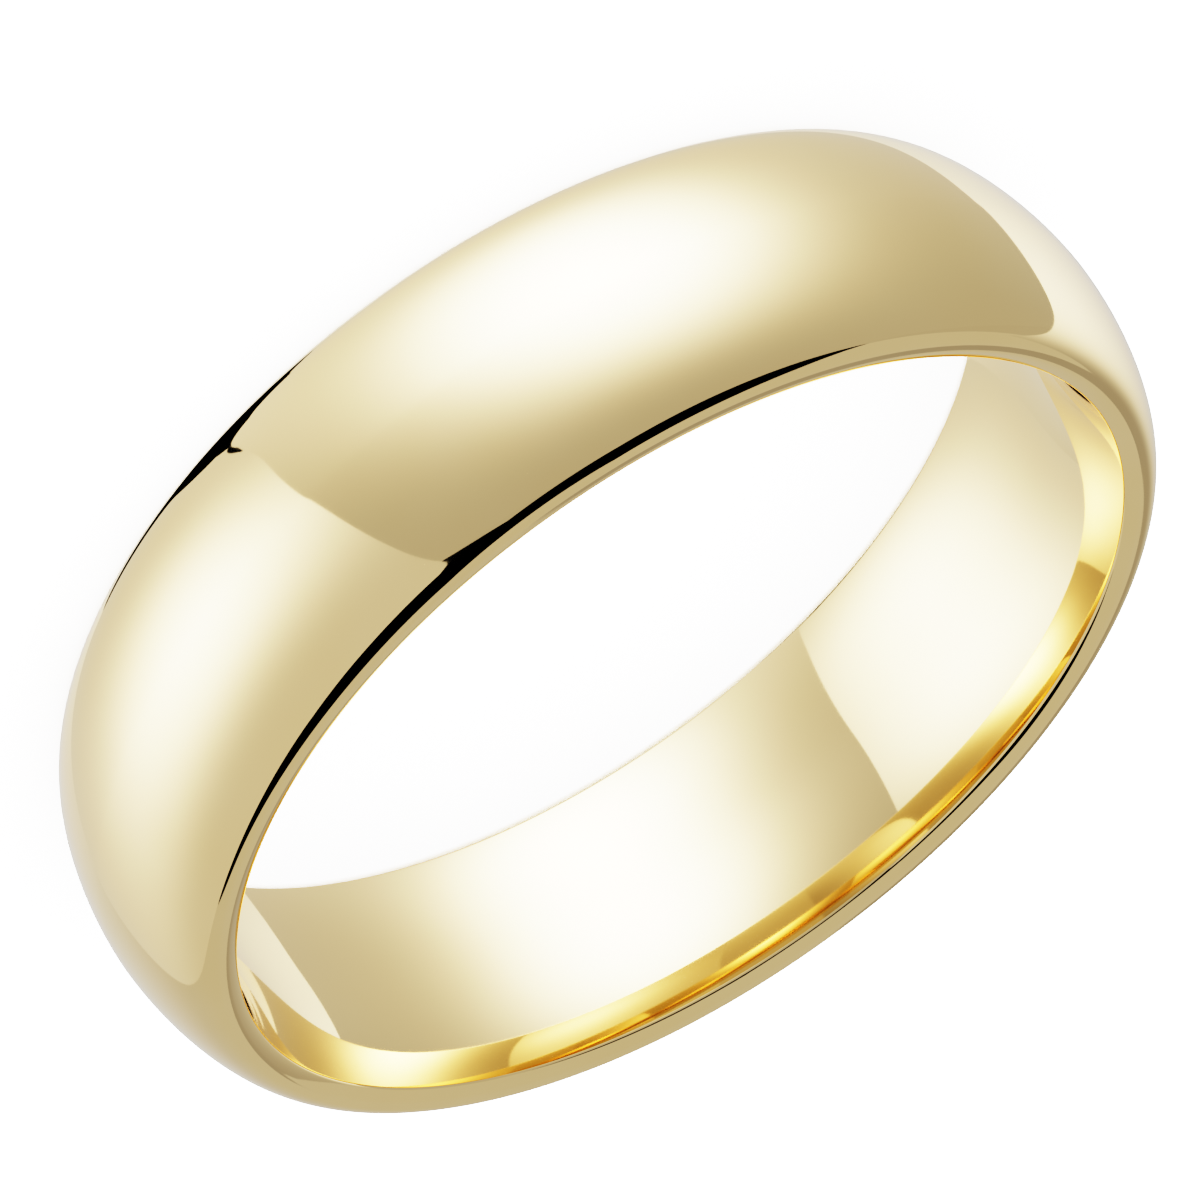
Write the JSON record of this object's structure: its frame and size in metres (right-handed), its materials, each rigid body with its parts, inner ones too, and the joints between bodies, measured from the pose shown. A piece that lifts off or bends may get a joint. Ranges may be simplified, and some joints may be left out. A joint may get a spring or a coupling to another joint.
{
  "type": "wedding band",
  "caption": "Plain polished yellow gold wedding band with a half-round outside and a smooth comfort-fit bore.",
  "frame": {"origin": "on the finger hole's axis, in the plane of the lower rim that the ring lies on", "axes": "+Z along the finger hole's axis, up, with the ring lying flat on one rim; +X and +Y are any two square directions across the ring, which is the same all round"},
  "size_m": [0.0238, 0.0238, 0.006],
  "materials": {
    "gold": "mirror-polished pale yellow gold"
  },
  "bodies": {
    "root": {"band": "gold"}
  },
  "joints": []
}
